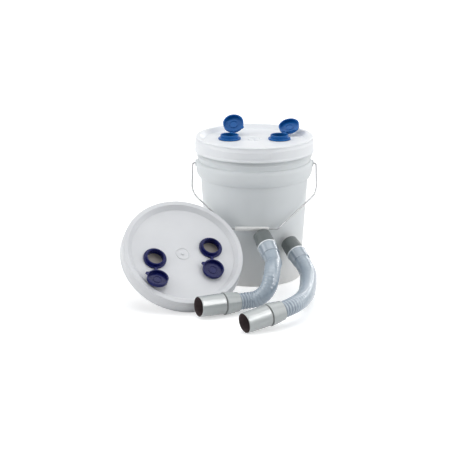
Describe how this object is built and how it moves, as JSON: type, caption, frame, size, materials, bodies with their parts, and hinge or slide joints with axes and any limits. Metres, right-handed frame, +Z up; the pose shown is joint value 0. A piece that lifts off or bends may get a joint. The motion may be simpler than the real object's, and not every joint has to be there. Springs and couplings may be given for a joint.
{
  "type": "settling pail kit",
  "caption": "Lidded pail with bail and capped lid ports that lets solids settle out of water, shown with a spare lid and ribbed hoses with a rubber coupling and a pipe cuff each.",
  "frame": {"origin": "centre of the pail's base on the floor", "axes": "+Z up along the pail; -Y to the front, where the hoses and the spare lid lie; X across the two ports"},
  "size_m": [0.5081, 0.6992, 0.4213],
  "materials": {
    "pail_plastic": "satin white polyethylene",
    "lid_plastic": "satin white polyethylene",
    "spare_lid_plastic": "satin white polyethylene",
    "bail_steel": "zinc plated wire",
    "grip_plastic": "smooth",
    "blue_plastic": "glossy",
    "navy_plastic": "glossy",
    "seal_rubber": "soft",
    "film_plastic": "dull",
    "hose_plastic": "satin ribbed",
    "coupling_rubber": "smooth",
    "cuff_plastic": "glossy"
  },
  "bodies": {
    "pail": {"pail": "pail_plastic"},
    "bail": {"bail_wire": "bail_steel"},
    "grip": {"bail_grip": "grip_plastic"},
    "lid": {"lid": "lid_plastic", "lid_gasket": "seal_rubber", "port_collar_left": "blue_plastic", "port_collar_right": "blue_plastic", "port_seal_left": "seal_rubber", "port_seal_right": "seal_rubber"},
    "cap_left": {"port_cap_left": "blue_plastic"},
    "cap_right": {"port_cap_right": "blue_plastic"},
    "spare_lid": {"spare_lid": "spare_lid_plastic", "spare_lid_gasket": "seal_rubber", "spare_collar_left": "navy_plastic", "spare_collar_right": "navy_plastic", "spare_seal_left": "seal_rubber", "spare_seal_right": "seal_rubber", "spare_film_left": "film_plastic", "spare_film_right": "film_plastic"},
    "spare_cap_left": {"spare_cap_left": "navy_plastic"},
    "spare_cap_right": {"spare_cap_right": "navy_plastic"},
    "hose_left": {"hose_left_tube": "hose_plastic", "hose_left_upper_cuff": "hose_plastic", "hose_left_rubber_coupling": "coupling_rubber", "hose_left_lower_cuff": "cuff_plastic"},
    "hose_right": {"hose_right_tube": "hose_plastic", "hose_right_upper_cuff": "hose_plastic", "hose_right_rubber_coupling": "coupling_rubber", "hose_right_lower_cuff": "cuff_plastic"}
  },
  "joints": [
    {"name": "cap_left_flip", "type": "hinge", "parent": "lid", "child": "cap_left", "pos_m": [-0.06068, 0.03358, 0.3781], "axis": [-0.9877, 0.1564, 0], "range_deg": [-138, 42]},
    {"name": "cap_right_flip", "type": "hinge", "parent": "lid", "child": "cap_right", "pos_m": [0.07983, 0.03106, 0.3781], "axis": [-0.9135, 0.4067, 0], "range_deg": [-151, 19]},
    {"name": "spare_cap_left_flip", "type": "hinge", "parent": "spare_lid", "child": "spare_cap_left", "pos_m": [-0.24659, -0.31705, 0.10484], "axis": [0.9686, 0.2234, -0.1093], "range_deg": [-166, 0]},
    {"name": "spare_cap_right_flip", "type": "hinge", "parent": "spare_lid", "child": "spare_cap_right", "pos_m": [-0.10686, -0.25325, 0.11579], "axis": [0.9686, 0.2234, -0.1093], "range_deg": [-178, 0]},
    {"name": "bail_swing", "type": "hinge", "parent": "pail", "child": "bail", "pos_m": [0, 0, 0.306], "axis": [-1, 0, 0], "range_deg": [0, 270.9]},
    {"name": "grip_spin", "type": "hinge", "parent": "bail", "child": "grip", "pos_m": [-0.006, -0.14145, 0.16249], "axis": [1, 0, 0], "continuous": true},
    {"name": "lid_lift", "type": "slide", "parent": "pail", "child": "lid", "axis": [0, 0, 1], "range_m": [0, 0.15]},
    {"name": "spare_lid_lift", "type": "slide", "parent": "pail", "child": "spare_lid", "axis": [-0.6, 0, 0.8], "range_m": [0, 0.15]},
    {"name": "hose_left_lift", "type": "slide", "parent": "pail", "child": "hose_left", "axis": [0, -0.6, 0.8], "range_m": [0, 0.15]},
    {"name": "hose_right_lift", "type": "slide", "parent": "pail", "child": "hose_right", "axis": [0, -0.6, 0.8], "range_m": [0, 0.15]}
  ]
}
